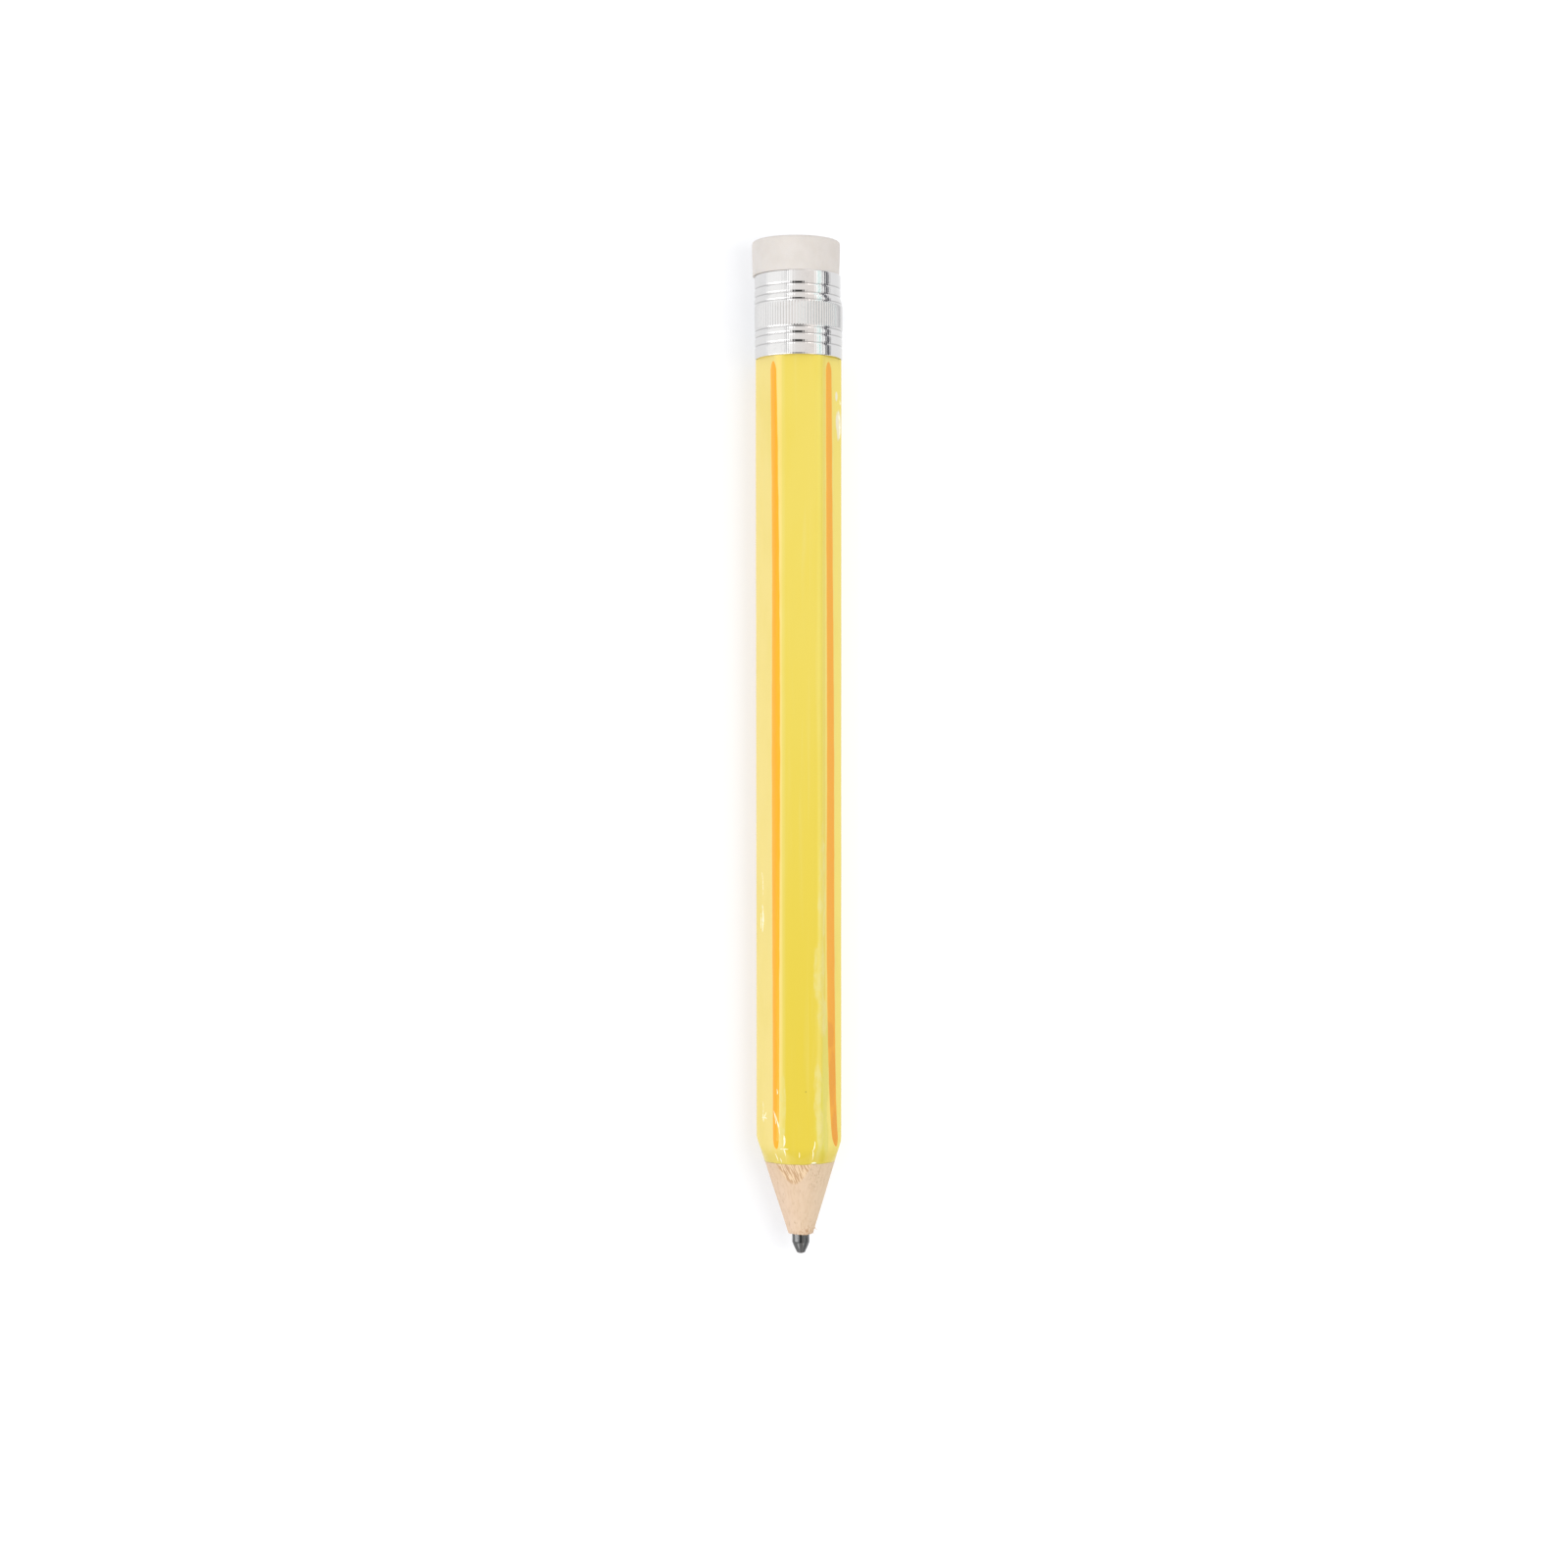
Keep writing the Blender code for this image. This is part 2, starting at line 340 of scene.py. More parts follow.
# The painted stripes. For each, at even steps from the eraser's end to the point: its angle from the
# top towards +X, in degrees, and its width in millimetres.
STRIPE_TOP = FERRULE_BOTTOM - 2.0 * MM
STRIPE_BOTTOM = FILM_END + 5.4 * MM
STRIPES = (
    ((-38, -34, -34, -34, -34), (3.5, 3.5, 4.0, 3.5, 3.0)),
    ((50, 53, 56, 56, 73), (4.0, 4.5, 5.0, 5.5, 4.0)),
    ((140, 142, 144, 146, 150), (4.0, 4.0, 4.5, 4.5, 4.0)),
    ((-130, -126, -124, -121, -118), (4.0, 4.5, 4.5, 4.5, 4.5)),
)


def stripe_mask(tree, position):
    """1 on the painted stripes. They wander like lines drawn by hand and have round ends."""
    parts = axes(tree, position)
    height = maths(tree, "SUBTRACT", parts["Z"], AXIS_Z)
    angle = maths(tree, "ARCTAN2", parts["X"], height)
    x_square = maths(tree, "MULTIPLY", parts["X"], parts["X"])
    radius = maths(tree, "SQRT", maths(tree, "MULTIPLY_ADD", height, height, x_square))
    along = fade_linear(tree, parts["Y"], STRIPE_TOP, STRIPE_BOTTOM)
    to_top = maths(tree, "SUBTRACT", STRIPE_TOP, parts["Y"])
    to_bottom = maths(tree, "SUBTRACT", parts["Y"], STRIPE_BOTTOM)
    nearest_end = maths(tree, "DIVIDE", maths(tree, "MINIMUM", to_top, to_bottom), 3.0 * MM)
    end = maths(tree, "POWER", maths(tree, "MAXIMUM", maths(tree, "MINIMUM", nearest_end, 1.0), 0.0), 0.45)
    wobble = drawn_cloud(tree, position, (0.0, 90.0, 0.0), 2.0)
    ragged = maths(tree, "MULTIPLY", end, fade_linear(tree, wobble, 0.2, 0.8, 0.92, 1.08))
    covered = None
    for angles, widths in STRIPES:
        centre = maths(tree, "RADIANS", by_steps(tree, along, angles, 30.0))
        half_width = maths(tree, "MULTIPLY", by_steps(tree, along, widths, 10.0), 0.5 * MM)
        half_width = maths(tree, "MULTIPLY", half_width, ragged)
        off = maths(tree, "WRAP", maths(tree, "SUBTRACT", angle, centre), math.pi, -math.pi)
        distance = maths(tree, "MULTIPLY", maths(tree, "ABSOLUTE", off), radius)
        inside = fade_linear(tree, maths(tree, "SUBTRACT", distance, half_width), 0.06 * MM, -0.06 * MM)
        covered = inside if covered is None else maths(tree, "MAXIMUM", covered, inside)
    return covered


# Patches on the film, in its print unless said otherwise: degrees from the top towards +X, station,
# half-width in degrees and half-length. Stations and half-lengths are in millimetres.
MILKY_PATCHES = (
    (34, -50, 7, 20),
    (31, -80, 8, 18),
    (33, -94, 10, 7),
    (26, -119, 6, 10),
    (30, -133, 6, 8),
    (-24, -129, 4, 15),
    (-27, -143, 8, 3),
    (28, -143, 5, 3),
    (150, 20, 9, 30),
)
GREEN_PATCHES = (
    (41, -108, 9, 14),
    (38, -123, 10, 10),
    (36, -136, 14, 9),
    (-160, -90, 9, 25),
)
# Whitish patches where the film bulges: painted highlights.
GLINT_PATCHES = (
    (79, 113, 6, 5),
    (74, 123, 4, 2),
    (21, -146, 4, 1),
    (-118, -30, 5, 5),
)
DARK_INK = (
    (56, -100, 12, 5),
    (62, -116, 12, 10),
    (68, -133, 12, 8),
    (140, 30, 9, 12),
)
SPECKS = (
    (10, -120, 1, 0.3),
    (171, 60, 1, 0.3),
    (-95, -90, 1, 0.3),
)


def patches(tree, from_top, y, ragged, places):
    """Soft, slightly ragged ellipses on the film, as one mask."""
    covered = None
    for angle, station, half_width, half_length in places:
        sizes = (half_width, half_length * MM)
        square = ellipse_square(tree, (from_top, y), (angle, station * MM), sizes)
        distance = maths(tree, "ADD", maths(tree, "SQRT", square), ragged)
        inside = fade(tree, distance, 1.15, 0.75)
        covered = inside if covered is None else maths(tree, "MAXIMUM", covered, inside)
    return covered


def film_material():
    """Glossy printed film: yellow with milky and greenish patches of ink, and orange stripes.

    Paler sides, edge and eraser end are painted reflection, whitish patches are painted highlights, and
    the darker lower edge is painted shade.
    """
    material, tree, position = new_material("glossy_yellow_film")
    parts = axes(tree, position)
    y = parts["Y"]
    angle = maths(tree, "ARCTAN2", parts["X"], maths(tree, "SUBTRACT", parts["Z"], AXIS_Z))
    from_top = maths(tree, "MULTIPLY", angle, 180 / math.pi)
    streaks = drawn_cloud(tree, position, (420.0, 16.0, 420.0), 3.0, 0.5, 0.4)
    clouds = drawn_cloud(tree, position, (90.0, 30.0, 90.0), 3.0)
    fringe = drawn_cloud(tree, position, (260.0, 110.0, 260.0), 3.0)
    ragged = fade_linear(tree, fringe, 0.3, 0.7, -0.35, 0.35)
    # Paler towards the eraser end: painted reflection.
    base = mix(tree, fade(tree, y, 0.13, -0.13), YELLOW_TOP, YELLOW_TIP)
    # Paler from the left rounded edge round the left side: a painted highlight on the edge and painted
    # reflection on the left face.
    base = mix(tree, fade(tree, from_top, -18.0, -22.5, 0.0, 0.35), base, YELLOW_MILKY)
    left_sheen = maths(tree, "MULTIPLY", fade(tree, from_top, -22.5, -25.0), fade(tree, from_top, -112.0, -94.0))
    base = mix(tree, left_sheen, base, YELLOW_LEFT_SHEEN)
    # Paler on the right face and along the right rounded edge: painted reflection.
    base = mix(tree, fade(tree, from_top, 38.0, 43.0), base, YELLOW_RIGHT_SHEEN)
    edge = maths(tree, "MULTIPLY", fade(tree, from_top, 24.5, 27.5), fade(tree, from_top, 40.0, 34.0))
    base = mix(tree, maths(tree, "MULTIPLY", edge, 0.8), base, YELLOW_EDGE_SHEEN)
    base = mix(tree, patches(tree, from_top, y, ragged, GREEN_PATCHES), base, YELLOW_GREEN)
    mottle = drawn_cloud(tree, position, (430.0, 210.0, 430.0), 3.0, 0.55, 0.5)
    milky = patches(tree, from_top, y, ragged, MILKY_PATCHES)
    milky = maths(tree, "MULTIPLY", milky, fade(tree, mottle, 0.40, 0.62, 0.35, 1.0))
    base = mix(tree, milky, base, YELLOW_MILKY)
    # Darker near the film's lower edge: painted shade.
    base = mix(tree, fade(tree, y, FILM_END + 7.0 * MM, FILM_END + 2.0 * MM, 0.0, 0.6), base, YELLOW_SHADE)
    # Whitish patches: painted highlights on bulges in the film.
    painted_glints = maths(tree, "MULTIPLY", patches(tree, from_top, y, ragged, GLINT_PATCHES), 0.85)
    base = mix(tree, painted_glints, base, (0.72, 0.69, 0.58))
    base = mix(tree, fade(tree, clouds, 0.4, 0.75, 0.0, 0.3), base, YELLOW_TIP)
    base = mix(tree, fade(tree, streaks, 0.5, 0.8, 0.0, 0.25), base, YELLOW_MILKY)
    dark = maths(tree, "MULTIPLY", patches(tree, from_top, y, ragged, DARK_INK), 0.6)
    ink = mix(tree, fade(tree, streaks, 0.4, 0.75, 0.0, 0.35), ORANGE, ORANGE_DEEP)
    ink = mix(tree, fade(tree, from_top, 42.0, 46.0, 0.0, 0.65), ink, ORANGE_DEEP)
    ink = mix(tree, dark, ink, (0.66, 0.250, 0.002))
    colour = mix(tree, stripe_mask(tree, position), base, ink)
    colour = mix(tree, patches(tree, from_top, y, 0.0, SPECKS), colour, (0.40, 0.31, 0.05))
    ripple = drawn_cloud(tree, position, (300.0, 40.0, 300.0), 2.0)
    grain = cloud(tree, position, 1500.0, 2.0)
    roughness = fade(tree, ripple, 0.3, 0.7, 0.09, 0.16)
    relief = maths(tree, "MULTIPLY_ADD", grain, 0.04, ripple)
    others = {"IOR": 1.38, "Normal": bump(tree, relief, 0.35, 0.1 * MM)}
    principled(tree, colour, roughness, others)
    return material


def ferrule_material():
    """Bright rolled metal with faint lengthwise draw lines and small scuffs, and painted shade in its
    grooves and flute valleys.
    """
    material, tree, position = new_material("bright_ferrule_metal")
    lines = drawn_cloud(tree, position, (2600.0, 60.0, 2600.0), 2.0)
    scuffs = cloud(tree, position, 420.0, 4.0, 0.6, 0.8)
    dull = fade(tree, scuffs, 0.5, 0.8)
    painted_groove_shade = attribute(tree, "painted_groove_shade")
    colour = mix(tree, dull, (0.672, 0.666, 0.660), (0.63, 0.625, 0.62))
    # Darker in the grooves and flute valleys: painted shade.
    colour = mix(tree, painted_groove_shade, colour, (0.24, 0.23, 0.23))
    roughness = maths(tree, "MULTIPLY_ADD", dull, 0.03, fade(tree, lines, 0.3, 0.7, 0.06, 0.12))
    relief = maths(tree, "MULTIPLY_ADD", scuffs, 0.08, lines)
    others = {"Metallic": 1.0, "Normal": bump(tree, relief, 0.08, 0.03 * MM)}
    principled(tree, colour, roughness, others)
    return material


def eraser_material():
    """Off-white rubber with a powdery surface, faint mottling and a little grime at the rim."""
    material, tree, position = new_material("off_white_eraser_rubber")
    y = axes(tree, position)["Y"]
    mottle = cloud(tree, position, 170.0, 4.0, 0.6)
    speck = cloud(tree, position, 2600.0, 2.0)
    colour = mix(tree, fade(tree, mottle, 0.3, 0.72), (0.612, 0.575, 0.546), (0.580, 0.541, 0.507))
    grime = maths(
        tree,
        "MULTIPLY",
        fade(tree, y, ERASER_END - 1.6 * MM, ERASER_END - 0.1 * MM),
        fade(tree, cloud(tree, position, 500.0, 3.0), 0.5, 0.72),
    )
    colour = mix(tree, maths(tree, "MULTIPLY", grime, 0.45), colour, (0.42, 0.37, 0.33))
    colour = mix(tree, fade(tree, speck, 0.66, 0.8, 0.0, 0.3), colour, (0.46, 0.41, 0.37))
    relief = maths(tree, "MULTIPLY_ADD", mottle, 1.5, speck)
    roughness = fade(tree, speck, 0.3, 0.7, 0.72, 0.9)
    others = {
        "Specular IOR Level": 0.35,
        "Subsurface Weight": 0.08,
        "Subsurface Radius": (0.004, 0.003, 0.002),
        "Subsurface Scale": 0.3,
        "Normal": bump(tree, relief, 0.35, 0.08 * MM),
    }
    principled(tree, colour, roughness, others)
    return material


def wood_material():
    """Bare basswood: pale, with fine pores and flecks drawn out along the grain, and a torn patch.

    Painted shade darkens its right side and the gaps between the torn fibres.
    """
    material, tree, position = new_material("bare_pale_wood")
    parts = axes(tree, position)
    grain = drawn_cloud(tree, position, (1300.0, 60.0, 1300.0), 4.0, 0.6, 0.3)
    bands = drawn_cloud(tree, position, (150.0, 16.0, 150.0), 2.0)
    flecks = drawn_cloud(tree, position, (2100.0, 260.0, 900.0), 1.0)
    torn = attribute(tree, "torn")
    fibre = attribute(tree, "fibre")
    colour = mix(tree, fade(tree, bands, 0.35, 0.7), (0.672, 0.507, 0.376), (0.642, 0.478, 0.338))
    # Darker towards +X: painted shade on the right side of the cone.
    colour = mix(tree, fade(tree, parts["X"], -0.004, 0.012, 0.0, 0.55), colour, (0.610, 0.490, 0.330))
    colour = mix(tree, fade(tree, grain, 0.42, 0.75, 0.0, 0.5), colour, (0.55, 0.385, 0.255))
    colour = mix(tree, fade(tree, flecks, 0.66, 0.76, 0.0, 0.7), colour, (0.46, 0.33, 0.215))
    # Dark brown flecks near the wood's end, reaching higher towards +X.
    to_right = fade(tree, parts["X"], -1.0 * MM, 3.5 * MM, 1.6 * MM, 5.0 * MM)
    above_end = maths(tree, "DIVIDE", maths(tree, "SUBTRACT", parts["Y"], WOOD_END), to_right)
    low_end = fade(tree, above_end, 1.0, 0.1)
    picked = drawn_cloud(tree, position, (1700.0, 800.0, 1700.0), 2.0)
    dark_end_flecks = maths(tree, "MULTIPLY", low_end, fade(tree, picked, 0.47, 0.62))
    colour = mix(tree, maths(tree, "MULTIPLY", dark_end_flecks, 0.8), colour, (0.42, 0.235, 0.125))
    strokes = drawn_cloud(tree, position, (2300.0, 420.0, 2300.0), 1.0)
    from_left = fade(tree, parts["X"], 2.5 * MM, 4.0 * MM)
    from_right = fade(tree, parts["X"], 9.5 * MM, 7.0 * MM)
    near_film = fade(tree, parts["Y"], FILM_END - 13.0 * MM, FILM_END - 4.0 * MM)
    beside = maths(tree, "MULTIPLY", maths(tree, "MULTIPLY", from_left, from_right), near_film)
    scored = maths(tree, "MULTIPLY", beside, fade(tree, strokes, 0.52, 0.66))
    colour = mix(tree, maths(tree, "MULTIPLY", scored, 0.6), colour, (0.46, 0.33, 0.215))
    # Torn grain: warmer brown, darker where the fibres sink and paler on the raised strands. The dark
    # between them is painted shade.
    torn_grain_and_shade = mix(tree, fade(tree, fibre, 0.28, 0.58), (0.500, 0.322, 0.185), (0.715, 0.535, 0.350))
    colour = mix(tree, torn, colour, torn_grain_and_shade)
    relief = maths(tree, "MULTIPLY", grain, 0.8)
    roughness = fade(tree, grain, 0.3, 0.7, 0.6, 0.8)
    others = {"IOR": 1.4, "Specular IOR Level": 0.3, "Normal": bump(tree, relief, 0.45, 0.12 * MM)}
    principled(tree, colour, roughness, others)
    return material


def graphite_material():
    """Fired graphite and clay: dark, with a dull metallic shine and faint turning marks."""
    material, tree, position = new_material("fired_graphite")
    turning = drawn_cloud(tree, position, (200.0, 2600.0, 200.0), 2.0)
    smudge = cloud(tree, position, 700.0, 3.0)
    colour = mix(tree, fade(tree, smudge, 0.3, 0.7), (0.018, 0.019, 0.020), (0.032, 0.032, 0.033))
    y = axes(tree, position)["Y"]
    worn = fade(tree, y, POINT + 0.9 * MM, POINT + 0.1 * MM)
    colour = mix(tree, maths(tree, "MULTIPLY", worn, 0.4), colour, (0.13, 0.09, 0.07))
    roughness = fade(tree, smudge, 0.3, 0.7, 0.11, 0.16)
    others = {"IOR": 1.8, "Normal": bump(tree, turning, 0.1, 0.03 * MM)}
    principled(tree, colour, roughness, others)
    return material


# ---------------------------------------------------------------- the yellow film

FILM_COLUMNS = 168
FILM_TOP = FERRULE_BOTTOM + 3.0 * MM
FILM_SHEET = 0.14 * MM
FINE_ROWS_START = -115.0 * MM
PUCKERS_START = -122.0 * MM
PUCKERS_FULL = -138.0 * MM
NECK_RADIUS = 15.1 * MM
NECK_DRAW = 0.9 * MM


def film_ripple(points):
    """How far the film stands off its smooth shape, for points (n, 3)."""
    ripple = value_noise(points, (90.0, 30.0, 90.0), 7.7) * 0.035 * MM
    pucker = value_noise(points, (420.0, 160.0, 420.0), 1.3) * 0.05 * MM
    return ripple + pucker * smoothstep(PUCKERS_START, PUCKERS_FULL, points[:, 1])


def make_film():
    """The skin: the hexagon's faces and the start of the cone, with a soft ripple and puckers."""
    angle = even_girth_angles(FILM_COLUMNS)
    stations = np.concatenate(
        [
            [FILM_TOP, FERRULE_BOTTOM + 1.1 * MM],
            np.linspace(FERRULE_BOTTOM + 0.8 * MM, FERRULE_BOTTOM + 0.12 * MM, 5),
            np.linspace(FERRULE_BOTTOM - 0.1 * MM, FINE_ROWS_START + 2.0 * MM, 96),
            np.linspace(FINE_ROWS_START, FILM_END, 72),
        ]
    )
    station = np.repeat(stations[:, None], FILM_COLUMNS, axis=1)
    angle = np.broadcast_to(angle, station.shape)
    near_end = smoothstep(FILM_END + 1.5 * MM, FILM_END, station)
    ragged = value_noise(ring_points(angle[-1], 0.0, APOTHEM).reshape(-1, 3), 260.0, 3.1)
    station = station + near_end * ragged * 0.22 * MM
    radius = body_surface(angle, station)
    inside_ferrule = smoothstep(FERRULE_BOTTOM - 0.1 * MM, FERRULE_BOTTOM + 0.1 * MM, station)
    neck = np.minimum(radius, NECK_RADIUS - NECK_DRAW * inside_ferrule)
    radius = np.where(inside_ferrule > 0, neck, radius)
    tucked = smoothstep(FERRULE_BOTTOM + 0.4 * MM, FERRULE_BOTTOM + 0.8 * MM, station)
    radius = radius + tucked * (FERRULE_BORE - 0.1 * MM - radius)
    points = ring_points(angle, station, radius).reshape(-1, 3)
    relief = film_ripple(points).reshape(radius.shape)
    radius = radius + relief * (1 - inside_ferrule)
    points = ring_points(angle, station, radius)
    faces = grid_faces(len(stations), FILM_COLUMNS)
    piece = new_piece("film_wrap_skin", points, faces, film_material())
    sheet = piece.modifiers.new("sheet", "SOLIDIFY")
    sheet.thickness = FILM_SHEET
    sheet.offset = -1.0
    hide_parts("film_wrap")


# Creases where the film was pinched as it shrank. Each is the degrees from the top towards +X and the
# station of its middle, its length, its heading in degrees, which is 0 towards the point and 90 round
# the body, and its half-width. Stations, lengths and half-widths are in millimetres. Most creases are
# near the point, where the film was drawn down over the cone.
CREASES = (
    (-70, -127, 6, 0, 0.15),
    (-65, -129, 4, -40, 0.20),
    (-65, -130, 4, 90, 0.20),
    (-69, -130, 3, 10, 0.30),
    (-36, -129, 5, 15, 0.20),
    (-32, -131, 8, 15, 0.20),
    (-22, -137, 4, 0, 0.30),
    (-22, -140, 3, 90, 0.20),
    (-22, -141, 3, 10, 0.20),
    (-37, -143, 3, 15, 0.15),
    (-30, -144, 2, 10, 0.15),
    (21, -139, 4, -10, 0.15),
    (20, -142, 4, 5, 0.15),
    (24, -145, 2, 90, 0.30),
    (0, -142, 2, 0, 0.15),
    (-31, -120, 2, 5, 0.20),
    (-71, -48, 9, 5, 0.15),
    (-71, -60, 10, 0, 0.45),
    (-76, -61, 6, 0, 0.20),
    (83, 121, 2, 10, 0.20),
    (80, 113, 10, 5, 0.35),
    (92, -135, 10, -10, 0.15),
    (131, -138, 10, 10, 0.15),
    (168, -141, 6, -10, 0.15),
    (-139, -139, 9, 5, 0.15),
    (-105, -135, 8, -10, 0.15),
    (120, 23, 14, 5, 0.15),
    (-157, 64, 12, 5, 0.15),
)
CREASE_BOW = 0.06


def crease_material():
    """Glossy film on the folds, coloured near-white: painted highlights for the glints that the folds
    catch.
    """
    material, tree, position = new_material("fold_film_painted_glints")
    broken = drawn_cloud(tree, position, (1500.0, 900.0, 1500.0), 2.0)
    # Near-white colour along the folds: painted highlights.
    colour = mix(tree, fade(tree, broken, 0.42, 0.7), (0.90, 0.87, 0.67), (0.77, 0.68, 0.30))
    roughness = fade(tree, broken, 0.3, 0.7, 0.10, 0.22)
    others = {"IOR": 1.38, "Normal": bump(tree, broken, 0.3, 0.05 * MM)}
    principled(tree, colour, roughness, others)
    return material


def make_creases():
    """Thin raised folds on the film, slightly bowed and tapering to nothing at both ends."""
    points, faces = [], []
    across = np.linspace(-1.0, 1.0, 7)
    share = np.linspace(0.0, 1.0, 18)
    swell = np.sin(math.pi * share) ** 0.6 + 0.03
    for middle, middle_station, length, heading, half_width in CREASES:
        turn = math.radians(heading)
        run = (share - 0.5) * length * MM
        bow = CREASE_BOW * length * MM * (1.0 - (2.0 * share - 1.0) ** 2)
        girth = math.radians(middle) * APOTHEM + run * math.sin(turn) + bow * math.cos(turn)
        along = middle_station * MM - run * math.cos(turn) + bow * math.sin(turn)
        ahead = np.gradient(np.stack([girth, along], axis=1), axis=0)
        ahead /= np.linalg.norm(ahead, axis=1)[:, None]
        sideways = half_width * MM * swell[:, None] * across[None, :]
        angle = math.pi / 2 - (girth[:, None] - sideways * ahead[:, 1:]) / APOTHEM
        station = along[:, None] + sideways * ahead[:, :1]
        rise = half_width * MM * 0.55 * swell[:, None] * (1.0 - across[None, :] ** 2)
        smooth = body_surface(angle, station)
        ripple = film_ripple(ring_points(angle, station, smooth).reshape(-1, 3)).reshape(smooth.shape)
        top = ring_points(angle, station, smooth + ripple + rise - 0.01 * MM)
        sunk_radius = (smooth + ripple)[:, [-1, 0]] - 0.06 * MM
        sunk = ring_points(angle[:, [-1, 0]], station[:, [-1, 0]], sunk_radius)
        tube_points, tube_faces = closed_tube(np.concatenate([top, sunk], axis=1), len(points))
        points += list(tube_points)
        faces += tube_faces
    new_piece("film_creases", points, faces, crease_material(), 60.0)


# ---------------------------------------------------------------- the ferrule

FLUTES = 90
SAMPLES_A_FLUTE = 10
TOP_RADIUS = 15.15 * MM
BAND_RADIUS = 15.45 * MM
SKIRT_RADIUS = 15.35 * MM
BAND_START = 10.2 * MM
BAND_END = 19.7 * MM
GROOVES = (4.75 * MM, 7.8 * MM, BAND_START, BAND_END, 22.0 * MM, 25.1 * MM)
GROOVE_HALF_WIDTH = 0.42 * MM
GROOVE_DEPTH = 0.17 * MM
FLUTE_DEPTH = 0.17 * MM
COLLAR_CROWN = 0.03 * MM
ROLLED_END = 0.12 * MM
DENT_DEPTH = 0.40 * MM
DENT_SPREAD = math.radians(33)
BULGE_HEIGHT = 0.30 * MM
BULGE_SPREAD = math.radians(45)


def make_ferrule(material):
    """Rolled sheet: a fluted middle band between grooved collars, its top pressed in on one side."""
    columns = FLUTES * SAMPLES_A_FLUTE
    angle = even_angles(columns)
    length = FERRULE_TOP - FERRULE_BOTTOM
    edge = [0.0, 0.05 * MM, 0.15 * MM, 0.3 * MM]
    marks = set(edge) | {length - e for e in edge}
    for groove in GROOVES:
        marks |= {groove + step * 0.19 * MM for step in range(-5, 6)}
    marks |= {x * MM for x in np.arange(0.8, 29.0, 0.9)}
    depth = np.array(sorted(m for m in marks if 0.0 <= m <= length))
    depth = depth[np.concatenate([[True], np.diff(depth) > 0.04 * MM])]
    top = TOP_RADIUS + (BAND_RADIUS - TOP_RADIUS) * smoothstep(GROOVES[1], BAND_START, depth)
    radius = np.where(depth < BAND_START, top, np.where(depth < BAND_END, BAND_RADIUS, SKIRT_RADIUS))
    edges = (0.0, *GROOVES, length)
    for start, end in zip(edges[:-1], edges[1:]):
        share = np.clip((depth - start) / (end - start), 0.0, 1.0)
        crown = COLLAR_CROWN * np.sin(math.pi * share)
        radius = np.where((depth >= start) & (depth <= end), radius + crown, radius)
    for groove in GROOVES:
        radius = radius - GROOVE_DEPTH * np.exp(-(((depth - groove) / GROOVE_HALF_WIDTH) ** 2))
    for end in (0.0, length):
        radius = radius - ROLLED_END * np.exp(-(np.abs(depth - end) / ROLLED_END))
    in_pitch = np.abs((np.arange(columns) / SAMPLES_A_FLUTE + 0.5) % 1.0 - 0.5)
    ridge = 1.0 - (2.0 * in_pitch) ** 2.2
    line = np.exp(-((in_pitch / 0.13) ** 2))
    fluting = smoothstep(BAND_START + 0.3 * MM, BAND_START + 0.9 * MM, depth)
    fluting *= smoothstep(BAND_END - 0.3 * MM, BAND_END - 0.9 * MM, depth)
    fluting = fluting[:, None]
    rings = radius[:, None] - FLUTE_DEPTH * fluting * (1.0 - ridge) - 0.018 * MM * (1.0 - fluting) * line
    pressed = smoothstep(BAND_START + 1.5 * MM, BAND_START - 3.0 * MM, depth)[:, None]
    from_right = (angle + math.pi) % (2 * math.pi) - math.pi
    dent = DENT_DEPTH * np.exp(-((from_right / DENT_SPREAD) ** 2))
    bulge = BULGE_HEIGHT * np.exp(-(((angle - math.pi) / BULGE_SPREAD) ** 2))
    rings = rings + pressed * (bulge - dent)
    outer = ring_points(angle, FERRULE_TOP - depth[:, None], rings)
    station = FERRULE_TOP - depth
    inner_rows = np.array([0, len(depth) // 2, len(depth) - 1])
    inner_radius = np.minimum(rings[inner_rows] - 0.3 * MM, FERRULE_BORE)
    inner = ring_points(angle, station[inner_rows][:, None], inner_radius)
    points = np.concatenate([outer.reshape(-1, 3), inner.reshape(-1, 3)])
    count = len(depth) * columns
    faces = grid_faces(len(depth), columns)
    faces += [face[::-1] for face in grid_faces(3, columns, count)]
    last_outer = (len(depth) - 1) * columns
    last_inner = count + 2 * columns
    for column in range(columns):
        following = (column + 1) % columns
        faces.append((column, count + column, count + following, following))
        outer_edge = (last_outer + following, last_outer + column)
        inner_edge = (last_inner + following, last_inner + column)
        faces.append((outer_edge[0], *inner_edge, outer_edge[1]))
    piece = new_piece("ferrule_shell", points, faces, material, 60.0)
    # How much painted shade darkens the metal: fully in the grooves, less in the flute valleys.
    in_groove = sum(np.exp(-(((depth - groove) / (0.20 * MM)) ** 2)) for groove in GROOVES)
    valley = smoothstep(0.62, 0.98, 1.0 - ridge) * 0.45
    painted_groove_shade = np.zeros(len(points))
    painted_groove_shade[:count] = np.maximum(0.62 * in_groove[:, None], fluting * valley).reshape(-1)
    piece.data.attributes.new("painted_groove_shade", "FLOAT", "POINT").data.foreach_set("value", painted_groove_shade)
    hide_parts("ferrule")


# ---------------------------------------------------------------- the eraser

# Small bites out of the rim: degrees from the top towards +X, depth below the end, size and depth.
CHIPS = (
    (46, 0.3 * MM, 0.8 * MM, 0.30 * MM),
    (53, 0.9 * MM, 0.6 * MM, 0.22 * MM),
    (66, 0.5 * MM, 0.9 * MM, 0.25 * MM),
    (82, 1.1 * MM, 0.7 * MM, 0.18 * MM),
    (-118, 0.4 * MM, 0.8 * MM, 0.22 * MM),
    (160, 0.5 * MM, 0.7 * MM, 0.2 * MM),
)

RIM_ROUNDING = 1.0 * MM
PLUG_RADIUS = 13.3 * MM
PLUG_TIP_RADIUS = 12.8 * MM


